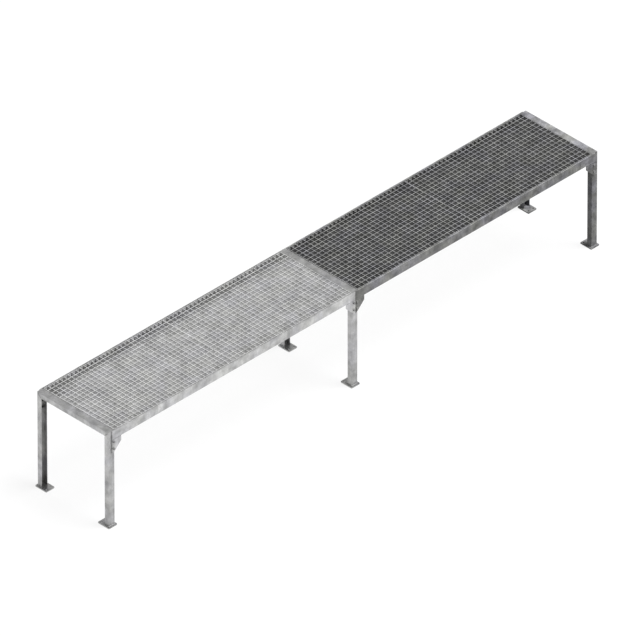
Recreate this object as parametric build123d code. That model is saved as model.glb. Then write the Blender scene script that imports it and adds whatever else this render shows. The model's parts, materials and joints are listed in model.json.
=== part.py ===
from build123d import *
import os

# Work platform bench of hot-dip galvanised steel: a base module with two portal frames and an
# extension module with one, bolted end to end and decked with four loose grating panels.
# Millimetres, +Z up, X along the bench, Y across it.  The front is -Y and the base module is at -X.
# The origin is on the floor, under the middle of the bench.

# ---- driving dimensions -------------------------------------------------------------------------
BAY_CLEAR = 2000.0          # clear length between two neighbouring portal frames
FRAME_WIDTH = 608.0         # over the outer faces of a pair of legs
DECK_HEIGHT = 695.0         # floor to the top of the frames

CHANNEL_WEB = 50.0          # cold-formed channel of the legs and the top beams
CHANNEL_FLANGE = 35.0
CHANNEL_WALL = 4.0
CHANNEL_RADIUS = 5.0        # outer bend radius

FOOT_LENGTH = 70.0          # foot plate, along X
FOOT_WIDTH = 95.0           # foot plate, along Y
FOOT_THICKNESS = 8.0
FOOT_OVERHANG = 10.0        # how far it stands out past the leg's outer face
FOOT_CORNER = 4.0
ANCHOR_HOLE = 12.0
ANCHOR_SPACING = 40.0
ANCHOR_INSET = 68.0         # from the leg's outer face to the anchor holes

RAIL_HEIGHT = 60.0          # side rail, a flat bar on edge
RAIL_THICKNESS = 6.0
RAIL_JOINT_GAP = 1.0        # between the two modules' rails on the middle frame
STIFFENER_WIDTH = 24.0      # flat bar along the rail's lower edge, on its inner face
STIFFENER_THICKNESS = 6.0

GUSSET_LENGTH = 75.0        # from the frame's centre line
GUSSET_EDGE = 34.0          # height of the gusset's free vertical edge
GUSSET_DEPTH = 97.0         # from the rail's lower edge to the gusset's tip
GUSSET_TIP = 12.0           # width of the tip past the centre line, and its corner radius

LEDGE_WIDTH = 30.0          # flat bar on the rail's inner face, which the gratings lie on
LEDGE_THICKNESS = 5.0
END_CLEARANCE = 1.0         # stiffener and ledge stop this far from a frame

GRATING_LENGTH = 998.0      # along X
GRATING_WIDTH = 600.0       # along Y
GRATING_DEPTH = 30.0
CELLS_X = 30
CELLS_Y = 18
BORDER_BAR = 3.0
BEARING_BAR = 3.0
CROSS_BAR = 3.0
CROSS_BAR_DEPTH = 5.0
GRATING_GAP = 2.0           # between the two panels of a bay

BOLT_HOLE = 9.0             # clearance hole for M8
BOLT_COLUMN = 12.5          # from the frame's centre line
BOLT_UPPER = 78.0           # below the deck height
BOLT_SPACING = 50.0
SHANK = 7.9
SHANK_LENGTH = 25.0
THREAD_BORE = 8.0
HEX_FLATS = 13.0
HEX_CORNERS = 15.01
HEX_CHAMFER = 0.8
HEAD_HEIGHT = 5.3
NUT_HEIGHT = 6.5
WASHER_OUTER = 15.0
WASHER_INNER = 8.4
WASHER_THICKNESS = 1.6

# ---- places that follow from them ---------------------------------------------------------------
FRAME_PITCH = BAY_CLEAR + CHANNEL_WEB
LEG_FACE = FRAME_WIDTH / 2
RAIL_FACE = LEG_FACE + RAIL_THICKNESS
RAIL_BOTTOM = DECK_HEIGHT - RAIL_HEIGHT
LEDGE_TOP = DECK_HEIGHT - GRATING_DEPTH
BOLT_ROWS = (DECK_HEIGHT - BOLT_UPPER, DECK_HEIGHT - BOLT_UPPER - BOLT_SPACING)

# frame name: its centre along X, and the sides of its centre line where a module's gusset is bolted
FRAMES = {"base_end": (-FRAME_PITCH, (1,)), "middle": (0.0, (-1, 1)), "extension_end": (FRAME_PITCH, (-1,))}
# module name: the centre of its bay along X, and the frames at its -X and +X ends
MODULES = {
    "base": (-FRAME_PITCH / 2, ("base_end", "middle")),
    "extension": (FRAME_PITCH / 2, ("middle", "extension_end")),
}
SIDES = {"front": -1, "back": 1}


# ---- shapes, each built at the front (-Y) side and centred on X = 0 -----------------------------
def channel_section():
    """U section with its web's outer face on the local X axis and its flanges towards local +Y."""
    lowest_first = (Align.CENTER, Align.MIN)
    outside = Rectangle(CHANNEL_WEB, CHANNEL_FLANGE, align=lowest_first)
    outside = fillet(outside.vertices().sort_by(Axis.Y)[:2], CHANNEL_RADIUS)
    inside = Rectangle(CHANNEL_WEB - 2 * CHANNEL_WALL, CHANNEL_FLANGE, align=lowest_first)
    inside = fillet(inside.vertices().sort_by(Axis.Y)[:2], CHANNEL_RADIUS - CHANNEL_WALL)
    return outside - Pos(0, CHANNEL_WALL) * inside


def corner_prism(*outline):
    """Prism across the channel, from (inwards, upwards) steps off the frame's outer top corner."""
    corner = Plane(origin=(0, -LEG_FACE, DECK_HEIGHT), x_dir=(0, 1, 0), z_dir=(1, 0, 0))
    return extrude(corner * Polygon(*outline, align=None), CHANNEL_WEB, both=True)


def round_hole(x, y, z, diameter, direction):
    """Cylinder, long enough to pass through any wall here, to cut a hole at a point."""
    place = Plane(origin=(x, y, z), z_dir=direction)
    return extrude(place * Circle(diameter / 2), 2 * CHANNEL_WALL + RAIL_THICKNESS, both=True)


def leg():
    """Channel leg with its web outwards, mitred at the top and drilled for a module on either side."""
    foot = Plane(origin=(0, -LEG_FACE, FOOT_THICKNESS), x_dir=(1, 0, 0), z_dir=(0, 0, 1))
    body = extrude(foot * channel_section(), DECK_HEIGHT - FOOT_THICKNESS)
    reach = CHANNEL_FLANGE + 1
    body -= corner_prism((0, 0), (reach, -reach), (reach, reach))
    for side in (-1, 1):
        for z in BOLT_ROWS:
            body -= round_hole(side * BOLT_COLUMN, -LEG_FACE, z, BOLT_HOLE, (0, 1, 0))
    return body


def top_beam():
    """Channel beam with its web on top, mitred at both ends to meet the legs."""
    front_end = Plane(origin=(0, -LEG_FACE, DECK_HEIGHT), x_dir=(1, 0, 0), z_dir=(0, 1, 0))
    body = extrude(front_end * channel_section(), FRAME_WIDTH)
    reach = CHANNEL_FLANGE + 1
    below_mitre = corner_prism((0, 0), (-reach, 0), (-reach, -reach), (reach, -reach))
    return body - below_mitre - mirror(below_mitre, Plane.XZ)


def foot_plate():
    """Floor plate with two anchor holes, clear of the leg on its open side."""
    outline = RectangleRounded(FOOT_LENGTH, FOOT_WIDTH, FOOT_CORNER)
    middle_y = -LEG_FACE - FOOT_OVERHANG + FOOT_WIDTH / 2
    plate = extrude(Pos(0, middle_y) * outline, FOOT_THICKNESS)
    for side in (-1, 1):
        plate -= round_hole(side * ANCHOR_SPACING / 2, -LEG_FACE + ANCHOR_INSET, 0, ANCHOR_HOLE, (0, 0, 1))
    return plate


def side_rail():
    """Flat bar on edge outside the legs, from the centre line of one frame to that of the next."""
    bar = Box(
        FRAME_PITCH - RAIL_JOINT_GAP,
        RAIL_THICKNESS,
        RAIL_HEIGHT,
        align=(Align.CENTER, Align.MIN, Align.MIN),
    )
    return Pos(0, -RAIL_FACE, RAIL_BOTTOM) * bar


def flat_bar_inside(width, thickness, top):
    """Flat bar lying against the rail's inner face, between the frames, with its upper face at a height."""
    bar = Box(BAY_CLEAR - 2 * END_CLEARANCE, width, thickness, align=(Align.CENTER, Align.MIN, Align.MAX))
    return Pos(0, -LEG_FACE, top) * bar


def gusset():
    """Plate under the rail's end, for a frame at X = 0 and a bay on its +X side."""
    start = RAIL_JOINT_GAP / 2
    slant = GUSSET_DEPTH - GUSSET_EDGE
    outline = Polygon(
        (start, 0),
        (GUSSET_LENGTH, 0),
        (GUSSET_LENGTH, -GUSSET_EDGE),
        (GUSSET_LENGTH - slant, -GUSSET_DEPTH),
        (start, -GUSSET_DEPTH),
        align=None,
    )
    tip = outline.vertices().sort_by_distance((GUSSET_LENGTH - slant, -GUSSET_DEPTH))[0]
    outline = fillet(tip, GUSSET_TIP)
    inner_face = Plane(origin=(0, -LEG_FACE, RAIL_BOTTOM), x_dir=(1, 0, 0), z_dir=(0, -1, 0))
    plate = extrude(inner_face * outline, RAIL_THICKNESS, dir=(0, -1, 0))
    for z in BOLT_ROWS:
        plate -= round_hole(BOLT_COLUMN, -RAIL_FACE, z, BOLT_HOLE, (0, 1, 0))
    return plate


def grating_border():
    """The four border bars of a panel, standing on edge: two long ones with two short ones between."""
    long_bar = Box(GRATING_LENGTH, BORDER_BAR, GRATING_DEPTH)
    short_bar = Box(BORDER_BAR, GRATING_WIDTH - 2 * BORDER_BAR, GRATING_DEPTH)
    bars = []
    for side in (-1, 1):
        bars.append(Pos(0, side * (GRATING_WIDTH - BORDER_BAR) / 2) * long_bar)
        bars.append(Pos(side * (GRATING_LENGTH - BORDER_BAR) / 2, 0) * short_bar)
    return Pos(0, 0, DECK_HEIGHT - GRATING_DEPTH / 2) * Compound(bars)


def grating_lattice():
    """Deep bearing bars across the bench, with shallow cross bars fused into their top edges."""
    pitch_x = (GRATING_LENGTH - BORDER_BAR) / CELLS_X
    pitch_y = (GRATING_WIDTH - BORDER_BAR) / CELLS_Y
    inner_length = GRATING_LENGTH - 2 * BORDER_BAR
    inner_width = GRATING_WIDTH - 2 * BORDER_BAR
    cells = GridLocations(pitch_x, pitch_y, CELLS_X, CELLS_Y)
    opening = Rectangle(pitch_x - BEARING_BAR, pitch_y - CROSS_BAR)
    upper = Rectangle(inner_length, inner_width) - cells * opening
    bars = GridLocations(pitch_x, 0, CELLS_X - 1, 1) * Rectangle(BEARING_BAR, inner_width)
    upper_layer = extrude(Pos(0, 0, DECK_HEIGHT - CROSS_BAR_DEPTH) * upper, CROSS_BAR_DEPTH)
    lower_layer = extrude(Pos(0, 0, LEDGE_TOP) * Sketch(bars), GRATING_DEPTH - CROSS_BAR_DEPTH)
    return upper_layer + lower_layer


def hexagon(height):
    """Hexagon bar end with its upper corners turned down, flats towards local X."""
    prism = extrude(Rot(0, 0, 30) * RegularPolygon(HEX_FLATS / 2, 6, major_radius=False), height)
    turned = Cylinder(HEX_CORNERS / 2, height, align=(Align.CENTER, Align.CENTER, Align.MIN))
    turned = chamfer(turned.edges().sort_by(Axis.Z)[-1], HEX_CHAMFER)
    return prism & turned


def bolt():
    """M8 bolt along local Z: the underside of its head is on Z = 0 and its shank goes down."""
    shank = extrude(Circle(SHANK / 2), -SHANK_LENGTH)
    shank = chamfer(shank.edges().sort_by(Axis.Z)[0], HEX_CHAMFER)
    return shank + hexagon(HEAD_HEIGHT)


def nut():
    """M8 nut: its seat is on Z = 0 and it goes down, away from the head."""
    body = mirror(hexagon(NUT_HEIGHT), Plane.XY)
    return body - extrude(Circle(THREAD_BORE / 2), -NUT_HEIGHT)


def washer():
    """Plain washer that lies on Z = 0."""
    return extrude(Circle(WASHER_OUTER / 2) - Circle(WASHER_INNER / 2), WASHER_THICKNESS)


# ---- places --------------------------------------------------------------------------------------
def on_side(shape, x, side):
    """A front-side shape moved along X, and mirrored to the back where asked."""
    placed = Pos(x, 0, 0) * shape
    if side == SIDES["back"]:
        placed = mirror(placed, Plane.XZ)
    return placed


def bolt_places(frame_name, inset):
    """One place for each bolt of a frame: Z points outwards, `inset` deep from the rails' outer face."""
    centre, columns = FRAMES[frame_name]
    places = []
    for side in SIDES.values():
        for column in columns:
            for z in BOLT_ROWS:
                point = (centre + column * BOLT_COLUMN, side * (RAIL_FACE - inset), z)
                places.append(Plane(origin=point, x_dir=(1, 0, 0), z_dir=(0, side, 0)).location)
    return places


def group(shape, places):
    """Copies of one fastener as separate solids of one node."""
    return Compound([place * shape for place in places])


def portal_frame_nodes():
    """Legs, foot plates and top beams of the three frames."""
    leg_shape = leg()
    foot_shape = foot_plate()
    beam_shape = top_beam()
    nodes = {}
    for frame_name, (centre, _) in FRAMES.items():
        nodes[f"top_beam_{frame_name}"] = Pos(centre, 0, 0) * beam_shape
        for side_name, side in SIDES.items():
            nodes[f"leg_{frame_name}_{side_name}"] = on_side(leg_shape, centre, side)
            nodes[f"foot_plate_{frame_name}_{side_name}"] = on_side(foot_shape, centre, side)
    return nodes


def rail_nodes():
    """Side rails with their stiffeners, ledges and end gussets, for both modules."""
    rail_shape = side_rail()
    stiffener_top = RAIL_BOTTOM + STIFFENER_THICKNESS
    stiffener_shape = flat_bar_inside(STIFFENER_WIDTH, STIFFENER_THICKNESS, stiffener_top)
    ledge_shape = flat_bar_inside(LEDGE_WIDTH, LEDGE_THICKNESS, LEDGE_TOP)
    right_gusset = gusset()
    left_gusset = mirror(right_gusset, Plane.YZ)
    nodes = {}
    for module_name, (bay_centre, ends) in MODULES.items():
        for side_name, side in SIDES.items():
            nodes[f"side_rail_{module_name}_{side_name}"] = on_side(rail_shape, bay_centre, side)
            nodes[f"rail_stiffener_{module_name}_{side_name}"] = on_side(stiffener_shape, bay_centre, side)
            nodes[f"grating_ledge_{module_name}_{side_name}"] = on_side(ledge_shape, bay_centre, side)
            for frame_name, shape in zip(ends, (right_gusset, left_gusset)):
                short_name = frame_name.replace(f"{module_name}_", "")
                centre = FRAMES[frame_name][0]
                nodes[f"gusset_{module_name}_{short_name}_{side_name}"] = on_side(shape, centre, side)
    return nodes


def grating_nodes():
    """Four loose panels, two in each bay."""
    border = grating_border()
    lattice = grating_lattice()
    step = (GRATING_LENGTH + GRATING_GAP) / 2
    nodes = {}
    for module_name, (bay_centre, _) in MODULES.items():
        for end_name, direction in (("left", -1), ("right", 1)):
            place = Pos(bay_centre + direction * step, 0, 0)
            nodes[f"grating_border_{module_name}_{end_name}"] = place * border
            nodes[f"grating_lattice_{module_name}_{end_name}"] = place * lattice
    return nodes


def fastener_nodes():
    """Bolts, washers and nuts of each frame, one node for each kind."""
    nut_depth = RAIL_THICKNESS + CHANNEL_WALL + WASHER_THICKNESS
    bolt_shape = bolt()
    nut_shape = nut()
    washer_shape = washer()
    nodes = {}
    for frame_name in FRAMES:
        nodes[f"bolts_{frame_name}"] = group(bolt_shape, bolt_places(frame_name, -WASHER_THICKNESS))
        nodes[f"nuts_{frame_name}"] = group(nut_shape, bolt_places(frame_name, nut_depth))
        washer_places = bolt_places(frame_name, 0) + bolt_places(frame_name, nut_depth)
        nodes[f"washers_{frame_name}"] = group(washer_shape, washer_places)
    return nodes


os.makedirs("parts", exist_ok=True)
all_nodes = {**portal_frame_nodes(), **rail_nodes(), **grating_nodes(), **fastener_nodes()}
for node_name, node_shape in all_nodes.items():
    export_step(node_shape, f"parts/{node_name}.step")
print(len(all_nodes), "nodes")
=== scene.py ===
import json
import math
import random
from typing import NamedTuple

import bmesh
import bpy
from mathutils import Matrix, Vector


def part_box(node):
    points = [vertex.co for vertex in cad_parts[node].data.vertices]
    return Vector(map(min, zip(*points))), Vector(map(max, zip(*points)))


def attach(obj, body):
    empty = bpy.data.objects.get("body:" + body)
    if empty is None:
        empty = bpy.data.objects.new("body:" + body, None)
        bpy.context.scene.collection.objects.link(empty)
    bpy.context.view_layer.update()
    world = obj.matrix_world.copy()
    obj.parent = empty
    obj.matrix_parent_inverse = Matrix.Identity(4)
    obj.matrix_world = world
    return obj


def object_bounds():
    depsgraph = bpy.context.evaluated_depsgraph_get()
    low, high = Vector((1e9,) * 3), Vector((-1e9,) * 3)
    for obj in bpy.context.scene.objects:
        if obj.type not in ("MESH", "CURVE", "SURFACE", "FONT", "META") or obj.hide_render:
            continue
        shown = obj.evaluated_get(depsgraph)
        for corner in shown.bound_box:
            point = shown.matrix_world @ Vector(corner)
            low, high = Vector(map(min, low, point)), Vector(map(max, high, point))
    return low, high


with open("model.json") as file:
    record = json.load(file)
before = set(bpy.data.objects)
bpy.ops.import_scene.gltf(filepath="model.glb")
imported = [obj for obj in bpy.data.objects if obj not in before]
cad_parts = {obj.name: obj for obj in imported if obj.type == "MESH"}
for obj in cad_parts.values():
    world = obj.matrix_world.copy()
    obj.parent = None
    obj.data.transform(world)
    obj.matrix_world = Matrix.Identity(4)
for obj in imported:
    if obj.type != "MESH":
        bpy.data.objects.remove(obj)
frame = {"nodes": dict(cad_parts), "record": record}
cad_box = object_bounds()

FRAME_NAMES = ("base_end", "middle", "extension_end")
MODULE_NAMES = ("base", "extension")
SIDES = {"front": -1, "back": 1}
X = Vector((1, 0, 0))
Y = Vector((0, 1, 0))
Z = Vector((0, 0, 1))

# ---- view ----------------------------------------------------------------------------------------
AZIMUTH = math.radians(-45.0)
ELEVATION = math.atan(1 / math.sqrt(2))     # isometric: all three axes are foreshortened alike
LENS = 1700.0                               # mm; so long that the view is as good as parallel
SENSOR = 36.0                               # mm
VIEW_WIDTH = 3.821                          # metres across the picture, at the object
AIM_SHIFT = Vector((0.0183, 0.0257, -0.0234))   # the picture's centre, from the middle of the object


def make_camera():
    data = bpy.data.cameras.new("camera")
    data.lens = LENS
    data.sensor_width = SENSOR
    distance = VIEW_WIDTH * LENS / SENSOR
    data.clip_start = distance / 10
    data.clip_end = distance * 2
    back = Vector((
        math.sin(AZIMUTH) * math.cos(ELEVATION),
        -math.cos(AZIMUTH) * math.cos(ELEVATION),
        math.sin(ELEVATION),
    ))
    camera = bpy.data.objects.new("camera", data)
    middle = (cad_box[0] + cad_box[1]) / 2
    camera.location = middle + AIM_SHIFT + back * distance
    camera.rotation_mode = "QUATERNION"
    camera.rotation_quaternion = (-back).to_track_quat("-Z", "Y")
    bpy.context.scene.collection.objects.link(camera)
    bpy.context.scene.camera = camera


# ---- shader nodes --------------------------------------------------------------------------------
def add(tree, kind, inputs, **settings):
    """A new shader node; an input that is a socket is linked, and any other is set."""
    node = tree.nodes.new("ShaderNode" + kind)
    for key, value in settings.items():
        setattr(node, key, value)
    for key, value in inputs.items():
        if isinstance(value, bpy.types.NodeSocket):
            tree.links.new(value, node.inputs[key])
        else:
            node.inputs[key].default_value = value
    return node


def spread(tree, value, low, high, to_low, to_high):
    """Maps low..high onto to_low..to_high, and clamps."""
    inputs = {"Value": value, "From Min": low, "From Max": high, "To Min": to_low, "To Max": to_high}
    return add(tree, "MapRange", inputs).outputs["Result"]


# ---- studio --------------------------------------------------------------------------------------
SKY = 0.76                                  # above the horizon
BELOW_HORIZON = 1.0                         # as white as the floor
HORIZON_BLEND = 0.03                        # height, as a sine, over which one turns into the other
SUN_TOWARDS = (0.30, -0.32, 1.0)            # from the front right, steep
SUN_STRENGTH = 13.0                         # lights the scene, and isn't mirrored in the metal
GLINT_STRENGTH = 0.9                        # the weak second sun, in the same place, that is mirrored
SUN_SOFTNESS = 30.0                         # degrees across
FLOOR_HALF = 90.0                           # metres; wide enough to fill the low views
FLOOR_GREY = 0.04
FLOOR_ROUGHNESS = 0.9
FLOOR_GLOW = 0.865                          # nearly white by itself, so that shadows stay faint


def make_sun(name, strength, mirrored):
    data = bpy.data.lights.new(name, "SUN")
    data.energy = strength
    data.angle = math.radians(SUN_SOFTNESS)
    sun = bpy.data.objects.new(name, data)
    sun.rotation_mode = "QUATERNION"
    sun.rotation_quaternion = Vector(SUN_TOWARDS).to_track_quat("Z", "Y")
    sun.visible_glossy = mirrored
    bpy.context.scene.collection.objects.link(sun)


def make_floor():
    corners = [(x * FLOOR_HALF, y * FLOOR_HALF, 0) for x, y in ((-1, -1), (1, -1), (1, 1), (-1, 1))]
    mesh = bpy.data.meshes.new("floor")
    mesh.from_pydata(corners, [], [(0, 1, 2, 3)])
    material = bpy.data.materials.new("floor_paint")
    material.use_nodes = True
    shader = material.node_tree.nodes["Principled BSDF"]
    shader.inputs["Base Color"].default_value = (FLOOR_GREY, FLOOR_GREY, FLOOR_GREY, 1)
    shader.inputs["Roughness"].default_value = FLOOR_ROUGHNESS
    shader.inputs["Specular IOR Level"].default_value = 0.0
    shader.inputs["Emission Color"].default_value = (1, 1, 1, 1)
    shader.inputs["Emission Strength"].default_value = FLOOR_GLOW
    mesh.materials.append(material)
    floor = bpy.data.objects.new("floor", mesh)
    bpy.context.scene.collection.objects.link(floor)


def make_studio():
    scene = bpy.context.scene
    scene.view_settings.view_transform = "Standard"
    # The gratings' lines are a third of a pixel wide, and the denoiser's filtered guides smear them.
    scene.cycles.denoising_prefilter = "NONE"
    world = bpy.data.worlds.new("studio")
    world.use_nodes = True
    tree = world.node_tree
    background = tree.nodes["Background"]
    background.inputs["Color"].default_value = (1, 1, 1, 1)
    direction = add(tree, "TexCoord", {}).outputs["Generated"]
    height = add(tree, "SeparateXYZ", {"Vector": direction}).outputs["Z"]
    strength = spread(tree, height, 0.0, HORIZON_BLEND, BELOW_HORIZON, SKY)
    tree.links.new(strength, background.inputs["Strength"])
    scene.world = world
    make_sun("overhead", SUN_STRENGTH, mirrored=False)
    make_sun("glint", GLINT_STRENGTH, mirrored=True)
    make_floor()


# ---- galvanised steel ----------------------------------------------------------------------------
class Zinc(NamedTuple):
    grey: float
    metallic: float
    specular: float
    roughness: float
    mottling: float
    tint: float             # strength of the blue and olive patches
    bump: float
    painted_cell_shade: float = 1.0       # painted shade: how much of the grey is left round a grating's cross bars; 1 paints none


ZINC = {
    "base_frame_zinc": Zinc(0.50, 1.0, 0.5, 0.42, 0.22, 0.20, 0.20),
    "base_portal_zinc": Zinc(0.42, 1.0, 0.5, 0.42, 0.22, 0.20, 0.20),
    "base_grating_zinc": Zinc(0.36, 0.65, 0.4, 0.45, 0.16, 0.20, 0.15, painted_cell_shade=0.95),
    "extension_frame_zinc": Zinc(0.086, 0.0, 0.15, 0.58, 0.36, 0.60, 0.30),
    "extension_portal_zinc": Zinc(0.077, 0.0, 0.15, 0.58, 0.36, 0.60, 0.30),
    "extension_grating_zinc": Zinc(0.088, 0.0, 0.15, 0.60, 0.26, 0.40, 0.20, painted_cell_shade=0.60),
    "fastener_zinc": Zinc(0.16, 0.55, 0.3, 0.40, 0.10, 0.20, 0.10),
    "base_weld_zinc": Zinc(0.31, 0.80, 0.3, 0.55, 0.15, 0.20, 0.20),
    "extension_weld_zinc": Zinc(0.080, 0.0, 0.15, 0.65, 0.20, 0.40, 0.20),
}
BLOTCH_SCALE = 17.0         # per metre: blotches some 60 mm across
TINT_SCALE = 9.0
SPANGLE_SCALE = 75.0        # zinc crystals some 13 mm across
SPECKLE_SCALE = 170.0       # fine light and dark flecks
GRAIN_SCALE = 900.0
RUN_SCALE = (70.0, 70.0, 5.0)   # zinc runs and weather streaks, drawn out downwards
PATCH_SHIFT = (7.3, 2.9, 5.1)   # keeps the tints and the flecks out of step with the blotches
BLOTCH_RANGE = (0.32, 0.68)     # where nearly all of each pattern's values lie
FINE_RANGE = (0.3, 0.7)
CRYSTAL_RANGE = (0.15, 0.85)
BLUE_TINT = (0.955, 0.955, 1.075)
OLIVE_TINT = (1.015, 1.02, 0.935)
TINT_RANGE = (0.36, 0.64)
PATCH_GLOSS = 0.08          # how far the roughness swings from blotch to blotch
CRYSTAL_GLOSS = 0.07        # and from crystal to crystal
CRYSTAL_DOME = (0.012, 0.6)     # distance from a crystal's middle, and how much it rises over that
BUMP_DEPTH = 0.0008
EDGE_RADIUS = 0.0025
EDGE_TURN = (0.98, 0.75)    # likeness of the two normals on a flat face, and on a worn edge
EDGE_LIFT = 1.08            # and this much brighter there
SPLASH_HEIGHT = 0.16        # the floor's dirt reaches this high
SPLASH_SHADE = 0.88
UNSHADED_DEPTH = 0.0016         # the gratings' bars keep their full grey this far down, above the painted shade
SHADED_DEPTH = 0.005          # the painted shade reaches as far down as the cross bars reach
LIT_DEPTH = 0.010         # below this the bars' sides get a painted light
PAINTED_LIGHT_GAIN = 1.28           # which makes them this much brighter than their tops


def noise(tree, place, scale, detail):
    return add(tree, "TexNoise", {"Vector": place, "Scale": scale, "Detail": detail}).outputs["Fac"]


def product(tree, *factors):
    result = factors[0]
    for factor in factors[1:]:
        result = add(tree, "Math", {0: result, 1: factor}, operation="MULTIPLY").outputs[0]
    return result


def total(tree, *terms):
    result = terms[0]
    for term in terms[1:]:
        result = add(tree, "Math", {0: result, 1: term}, operation="ADD").outputs[0]
    return result


def varied(tree, pattern, limits, strength):
    """A factor that swings about 1 by the strength, as the pattern goes from one limit to the other."""
    return spread(tree, pattern, *limits, 1 - strength, 1 + strength)


def tint_ramp(tree, value, strength):
    """Blue-violet through neutral to olive, as zinc patina turns from patch to patch."""
    ramp = add(tree, "ValToRGB", {"Fac": value})
    blue, olive = ramp.color_ramp.elements
    blue.position, olive.position = TINT_RANGE
    for stop, tint in ((blue, BLUE_TINT), (olive, OLIVE_TINT)):
        stop.color = [1 + (channel - 1) * strength for channel in tint] + [1]
    middle = ramp.color_ramp.elements.new(0.5)
    middle.color = (1, 1, 1, 1)
    return ramp.outputs["Color"]


def worn_edge(tree):
    """1 on outer edges and 0 on flat faces, from how far the rounded normal turns from the face's own."""
    rounded = add(tree, "Bevel", {"Radius": EDGE_RADIUS}, samples=4).outputs["Normal"]
    facing = add(tree, "NewGeometry", {}).outputs["Normal"]
    likeness = add(tree, "VectorMath", {0: rounded, 1: facing}, operation="DOT_PRODUCT").outputs["Value"]
    return spread(tree, likeness, *EDGE_TURN, 0.0, 1.0)


def grating_painted_shade(tree, height, painted_cell_shade):
    """Painted shade and painted light on a grating's bars: full grey on top, a painted shade as far down as
    the cross bars reach, and a painted light below.
    """
    top = cad_box[1].z
    shaded_band = spread(tree, height, top - UNSHADED_DEPTH, top, painted_cell_shade, 1.0)
    lit_depths = spread(tree, height, top - LIT_DEPTH, top - SHADED_DEPTH, PAINTED_LIGHT_GAIN / painted_cell_shade, 1.0)
    return product(tree, shaded_band, lit_depths)


def galvanised(name, zinc):
    material = bpy.data.materials.new(name + "_look")
    material.use_nodes = True
    tree = material.node_tree
    place = add(tree, "TexCoord", {}).outputs["Object"]
    runs_place = add(tree, "Mapping", {"Vector": place, "Scale": RUN_SCALE}).outputs["Vector"]
    shifted = add(tree, "VectorMath", {0: place, 1: PATCH_SHIFT}, operation="ADD").outputs["Vector"]

    blotches = noise(tree, place, BLOTCH_SCALE, detail=5.0)
    patches = noise(tree, shifted, TINT_SCALE, detail=2.0)
    runs = noise(tree, runs_place, 1.0, detail=2.0)
    speckle = noise(tree, shifted, SPECKLE_SCALE, detail=2.0)
    grain = noise(tree, place, GRAIN_SCALE, detail=2.0)
    crystals = add(tree, "TexVoronoi", {"Vector": place, "Scale": SPANGLE_SCALE})
    height = add(tree, "SeparateXYZ", {"Vector": place}).outputs["Z"]

    fainter = zinc.mottling / 3
    mottled = varied(tree, blotches, BLOTCH_RANGE, zinc.mottling)
    spangled = varied(tree, crystals.outputs["Color"], CRYSTAL_RANGE, fainter)
    streaked = varied(tree, runs, FINE_RANGE, fainter)
    flecked = varied(tree, speckle, FINE_RANGE, fainter)
    lighter = spread(tree, worn_edge(tree), 0.0, 1.0, 1.0, EDGE_LIFT)
    splashed = spread(tree, height, 0.0, SPLASH_HEIGHT, SPLASH_SHADE, 1.0)
    shade = product(tree, mottled, spangled, streaked, flecked, lighter, splashed, zinc.grey)
    # a grating's bars get a painted shade round the cross bars and a painted light deeper down
    if zinc.painted_cell_shade < 1:
        shade = product(tree, shade, grating_painted_shade(tree, height, zinc.painted_cell_shade))
    tints = tint_ramp(tree, patches, zinc.tint)
    colour = add(tree, "VectorMath", {0: tints, "Scale": shade}, operation="SCALE").outputs["Vector"]

    crystal_gloss = spread(tree, crystals.outputs["Color"], *CRYSTAL_RANGE, -CRYSTAL_GLOSS, CRYSTAL_GLOSS)
    dullest = zinc.roughness + PATCH_GLOSS
    glossiest = zinc.roughness - PATCH_GLOSS
    rough = total(tree, crystal_gloss, spread(tree, blotches, *BLOTCH_RANGE, dullest, glossiest))

    reach, rise = CRYSTAL_DOME
    domes = spread(tree, crystals.outputs["Distance"], 0.0, reach, 0.0, rise)
    relief = {"Height": total(tree, domes, grain, runs), "Strength": zinc.bump, "Distance": BUMP_DEPTH}
    bumped = add(tree, "Bump", relief).outputs["Normal"]

    shader = tree.nodes["Principled BSDF"]
    shader.inputs["Metallic"].default_value = zinc.metallic
    shader.inputs["Specular IOR Level"].default_value = zinc.specular
    tree.links.new(colour, shader.inputs["Base Color"])
    tree.links.new(rough, shader.inputs["Roughness"])
    tree.links.new(bumped, shader.inputs["Normal"])
    return material


looks = {name: galvanised(name, zinc) for name, zinc in ZINC.items()}


# ---- the CAD nodes' looks ------------------------------------------------------------------------
EASED_KINDS = ("side_rail", "rail_stiffener", "grating_ledge", "grating_border", "gusset", "foot_plate")
EASED_EDGE = 0.0006
SHARP_EDGE = math.radians(40)   # edges that turn more than this are eased
MERGE_WITHIN = 1e-5         # before the edges are eased
PORTAL_KINDS = ("leg", "top_beam", "foot_plate")


def dress_cad_nodes():
    """Gives each CAD node the look of its slot, and turns down the edges of the plain bars and plates."""
    slot_of = {part["node"]: part["material_slot"] for part in frame["record"]["subparts"]}
    for name, node in frame["nodes"].items():
        look = slot_of[name]
        if name.startswith(PORTAL_KINDS):
            look = look.replace("_frame_", "_portal_")
        node.data.materials.clear()
        node.data.materials.append(looks[look])
        if name.startswith(EASED_KINDS):
            joined = node.modifiers.new("joined", "WELD")
            joined.merge_threshold = MERGE_WITHIN
            eased = node.modifiers.new("eased_edges", "BEVEL")
            eased.width = EASED_EDGE
            eased.segments = 2
            eased.limit_method = "ANGLE"
            eased.angle_limit = SHARP_EDGE


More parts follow.
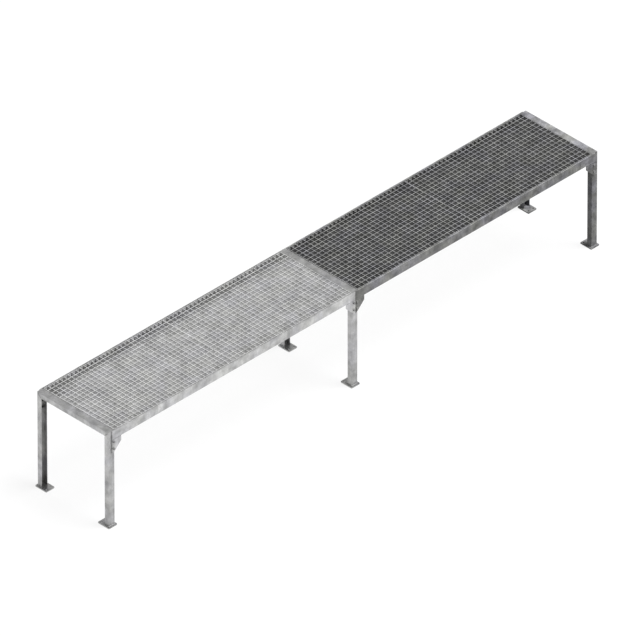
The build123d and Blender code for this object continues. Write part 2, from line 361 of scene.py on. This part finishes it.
# ---- weld beads and threads ----------------------------------------------------------------------
BEAD_STEP = 0.0012          # between two rings of a bead
RIPPLE = 0.0036             # length of one ripple of the solidified pool
TROUGH_SIZE = 0.92          # a bead's size between two ripples
RIPPLE_SWELL = 0.12         # what a ripple adds to it
UNEVENNESS = 0.03
END_SIZE = 0.55             # a bead's size at its two ends
END_GROWTH = 0.25           # what each ring further in adds to it
SUNK = 0.0004               # how far a bead's edges reach into the metal
FOOT_BEAD = 0.0050
STITCH_BEAD = 0.0040
STITCH_LENGTH = 0.040
STITCH_PITCH = 0.250
PANEL_BEAD = 0.0024
PANEL_BEAD_HEIGHT = 0.014
BUTT_WIDTH = 0.0070
BUTT_HEIGHT = 0.0008
LEDGE_STITCHES = 8
STIFFENER_STITCHES = 7      # one fewer, so that they fall between the ledge's
CHANNEL_BEND = 0.005        # outer radius of the channels' bends
PANEL_BAR = 0.003           # thickness of the gratings' bars
PANEL_CELLS = 30            # between the two short border bars
THREAD_PITCH = 0.00125
THREAD_SHOWN = 0.005        # bare thread past the nut
THREAD_START = 0.001        # from the bolt's tip to the first turn
THREAD_STEPS = 24           # in one turn
SHANK_RADIUS = 0.00395
THREAD_RIDGE = [(-0.0004, -0.00045), (0.00012, 0.0), (-0.0004, 0.00045)]
SAME_POINT = 1e-6           # corners this close to each other belong to one solid


def fillet_profile(size):
    """Across a corner: (out, up) steps, slightly bulged between the two toes."""
    flank = 0.90 * size
    low = 0.25 * size
    middle = 0.66 * size
    return [(-SUNK, -SUNK), (size, -SUNK), (flank, low), (middle, middle), (low, flank), (-SUNK, size)]


def butt_profile(width, height):
    """Across a flush joint: a low dome."""
    half = width / 2
    right = [(half, -SUNK), (0.8 * half, 0.6 * height), (0.35 * half, height)]
    return right + [(-out, up) for out, up in reversed(right)]


def straight(start, end, out, up):
    """Path from start to end: (point, out, up) at even steps."""
    steps = max(2, round((end - start).length / BEAD_STEP))
    return [(start.lerp(end, i / steps), out, up) for i in range(steps + 1)]


def turn(centre, radius, first_out, last_out, up):
    """Path round a quarter circle, from facing first_out to facing last_out."""
    steps = round(radius * math.pi / 2 / BEAD_STEP)
    path = []
    for i in range(1, steps):
        angle = math.pi / 2 * i / steps
        out = first_out * math.cos(angle) + last_out * math.sin(angle)
        path.append((centre + out * radius, out, up))
    return path


def rippled(path, rng):
    """Adds each ring's size, which swells with the ripples and draws in at both ends."""
    last = len(path) - 1
    sized = []
    for i, (point, out, up) in enumerate(path):
        ripple = abs(math.sin(math.pi * i * BEAD_STEP / RIPPLE))
        size = TROUGH_SIZE + RIPPLE_SWELL * ripple + rng.uniform(-UNEVENNESS, UNEVENNESS)
        size *= min(1.0, END_SIZE + END_GROWTH * min(i, last - i))
        sized.append((point, out * size, up * size))
    return sized


def sweep(paths, profile):
    """Vertices and faces of closed solids: the profile carried along each path."""
    verts = []
    faces = []
    count = len(profile)
    for path in paths:
        first = len(verts)
        for point, out, up in path:
            verts += [point + out * a + up * b for a, b in profile]
        for ring in range(first, len(verts) - count, count):
            for k in range(count):
                beside = (k + 1) % count
                faces.append((ring + k, ring + beside, ring + count + beside, ring + count + k))
        faces.append(tuple(range(first, first + count)))
        faces.append(tuple(range(len(verts) - count, len(verts))))
    return verts, faces


def added_piece(name, paths, profile, body, look):
    """One piece of all the beads or threads along the given paths, on a body."""
    verts, faces = sweep(paths, profile)
    mesh = bpy.data.meshes.new(name)
    mesh.from_pydata(verts, [], faces)
    shape = bmesh.new()
    shape.from_mesh(mesh)
    bmesh.ops.recalc_face_normals(shape, faces=shape.faces)
    shape.to_mesh(mesh)
    shape.free()
    mesh.polygons.foreach_set("use_smooth", [True] * len(mesh.polygons))
    mesh.materials.append(looks[look])
    piece = bpy.data.objects.new(name, mesh)
    bpy.context.scene.collection.objects.link(piece)
    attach(piece, body)


def weld_piece(name, paths, profile, body, slot):
    """One piece of rippled beads, in the duller zinc that sits on a weld."""
    rng = random.Random(name)
    look = slot.split("_")[0] + "_weld_zinc"
    added_piece(name, [rippled(path, rng) for path in paths], profile, body, look)


def leg_faces(frame_name, side_name):
    """A leg's box, and where its web's outer face and its open side lie across the bench."""
    low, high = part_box(f"leg_{frame_name}_{side_name}")
    if side_name == "front":
        return low, high, low.y, high.y
    return low, high, high.y, low.y


def module_of(frame_name):
    return "extension" if frame_name.startswith("extension") else "base"


def weld_feet():
    """A fillet bead round the outside of each leg, on its foot plate."""
    for frame_name in FRAME_NAMES:
        for side_name, side in SIDES.items():
            low, high, outer, opening = leg_faces(frame_name, side_name)
            outwards = Y * side
            bend = outer - side * CHANNEL_BEND
            plate = low.z
            path = straight(Vector((low.x, opening, plate)), Vector((low.x, bend, plate)), -X, Z)
            path += turn(Vector((low.x + CHANNEL_BEND, bend, plate)), CHANNEL_BEND, -X, outwards, Z)
            web_start = Vector((low.x + CHANNEL_BEND, outer, plate))
            web_end = Vector((high.x - CHANNEL_BEND, outer, plate))
            path += straight(web_start, web_end, outwards, Z)
            path += turn(Vector((high.x - CHANNEL_BEND, bend, plate)), CHANNEL_BEND, outwards, X, Z)
            path += straight(Vector((high.x, bend, plate)), Vector((high.x, opening, plate)), X, Z)
            slot = module_of(frame_name) + "_frame_zinc"
            name = f"weld_foot_{frame_name}_{side_name}"
            weld_piece(name, [path], fillet_profile(FOOT_BEAD), "frame", slot)


def weld_mitres():
    """A flat bead down each mitre, on the two frames' outward flanges; the bays' sides are ground flush."""
    for frame_name, outwards in (("base_end", -X), ("extension_end", X)):
        for side_name, side in SIDES.items():
            low, high, outer, opening = leg_faces(frame_name, side_name)
            face = low.x if outwards.x < 0 else high.x
            start = Vector((face, outer - side * CHANNEL_BEND, high.z - CHANNEL_BEND))
            end = Vector((face, opening, high.z - abs(outer - opening)))
            across = Vector((0, -side, 1)).normalized()
            slot = module_of(frame_name) + "_frame_zinc"
            name = f"weld_mitre_{frame_name}_{side_name}"
            profile = butt_profile(BUTT_WIDTH, BUTT_HEIGHT)
            weld_piece(name, [straight(start, end, across, outwards)], profile, "frame", slot)


GUSSET_ENDS = {"base": ("end", "middle"), "extension": ("middle", "end")}


def weld_gussets():
    """A flat bead along each gusset's joint with the rail above it."""
    for module_name, ends in GUSSET_ENDS.items():
        for end_name in ends:
            for side_name, side in SIDES.items():
                low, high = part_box(f"gusset_{module_name}_{end_name}_{side_name}")
                face = low.y if side < 0 else high.y
                start = Vector((low.x + BEAD_STEP, face, high.z))
                end = Vector((high.x - BEAD_STEP, face, high.z))
                name = f"weld_gusset_{module_name}_{end_name}_{side_name}"
                profile = butt_profile(BUTT_WIDTH, BUTT_HEIGHT)
                slot = module_name + "_frame_zinc"
                weld_piece(name, [straight(start, end, Z, Y * side)], profile, "frame", slot)


def stitches(low, high, face, height, count, inwards, up):
    """Short beads along a flat bar, evenly spaced about its middle."""
    middle = (low.x + high.x) / 2
    half = Vector((STITCH_LENGTH / 2, 0, 0))
    paths = []
    for i in range(count):
        place = Vector((middle + (i - (count - 1) / 2) * STITCH_PITCH, face, height))
        paths.append(straight(place - half, place + half, inwards, up))
    return paths


RAIL_STITCHES = (("grating_ledge", LEDGE_STITCHES, -Z), ("rail_stiffener", STIFFENER_STITCHES, Z))


def weld_rails():
    """Stitch welds under each ledge and on top of each stiffener, by turns along the rail."""
    for module_name in MODULE_NAMES:
        slot = module_name + "_frame_zinc"
        for side_name, side in SIDES.items():
            for kind, count, up in RAIL_STITCHES:
                low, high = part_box(f"{kind}_{module_name}_{side_name}")
                face = low.y if side < 0 else high.y
                height = low.z if up.z < 0 else high.z
                paths = stitches(low, high, face, height, count, -Y * side, up)
                name = f"weld_{kind}_{module_name}_{side_name}"
                weld_piece(name, paths, fillet_profile(STITCH_BEAD), "frame", slot)


def weld_panels():
    """Beads in the four inner corners of each grating's border, and at both ends of each bearing bar."""
    for module_name in MODULE_NAMES:
        for end_name in ("left", "right"):
            low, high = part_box(f"grating_border_{module_name}_{end_name}")
            inner_y = {-1: low.y + PANEL_BAR, 1: high.y - PANEL_BAR}
            inner_x = {-1: low.x + PANEL_BAR, 1: high.x - PANEL_BAR}
            pitch = (high.x - low.x - PANEL_BAR) / PANEL_CELLS
            paths = []
            for side, y in inner_y.items():
                for end, x in inner_x.items():
                    start = Vector((x, y, low.z + PANEL_BEAD))
                    paths.append(straight(start, start + Z * PANEL_BEAD_HEIGHT, -X * end, -Y * side))
                for i in range(1, PANEL_CELLS):
                    start = Vector((low.x + i * pitch, y, low.z + PANEL_BEAD))
                    paths.append(straight(start, start + Z * PANEL_BEAD_HEIGHT, -X, -Y * side))
            name = f"weld_grating_{module_name}_{end_name}"
            body = f"grating_{module_name}_{end_name}"
            weld_piece(name, paths, fillet_profile(PANEL_BEAD), body, module_name + "_grating_zinc")


def solids_of(node_name):
    """The box of each separate solid of a CAD node."""
    shape = bmesh.new()
    shape.from_mesh(frame["nodes"][node_name].data)
    bmesh.ops.remove_doubles(shape, verts=shape.verts, dist=SAME_POINT)
    left = set(shape.verts)
    boxes = []
    while left:
        queue = [left.pop()]
        points = []
        while queue:
            vert = queue.pop()
            points.append(vert.co.copy())
            for edge in vert.link_edges:
                other = edge.other_vert(vert)
                if other in left:
                    left.remove(other)
                    queue.append(other)
        low = Vector([min(point[axis] for point in points) for axis in range(3)])
        high = Vector([max(point[axis] for point in points) for axis in range(3)])
        boxes.append((low, high))
    shape.free()
    return sorted(boxes, key=lambda pair: tuple(pair[0]))


def cut_threads():
    """A helical ridge on the bare end of each bolt, past its nut."""
    for frame_name in FRAME_NAMES:
        shanks = []
        for low, high in solids_of(f"bolts_{frame_name}"):
            side = 1 if low.y > 0 else -1
            tip = low.y if side > 0 else high.y
            axis = Vector(((low.x + high.x) / 2, tip, (low.z + high.z) / 2))
            path = []
            for i in range(round(THREAD_SHOWN / THREAD_PITCH * THREAD_STEPS)):
                turns = i / THREAD_STEPS
                out = X * math.cos(2 * math.pi * turns) + Z * math.sin(2 * math.pi * turns)
                along = Y * (side * (THREAD_START + THREAD_PITCH * turns))
                path.append((axis + along + out * SHANK_RADIUS, out, Y))
            shanks.append(path)
        name = f"threads_{frame_name}"
        added_piece(name, shanks, THREAD_RIDGE, "frame", "fastener_zinc")


make_camera()
make_studio()
dress_cad_nodes()
weld_feet()
weld_mitres()
weld_gussets()
weld_rails()
weld_panels()
cut_threads()
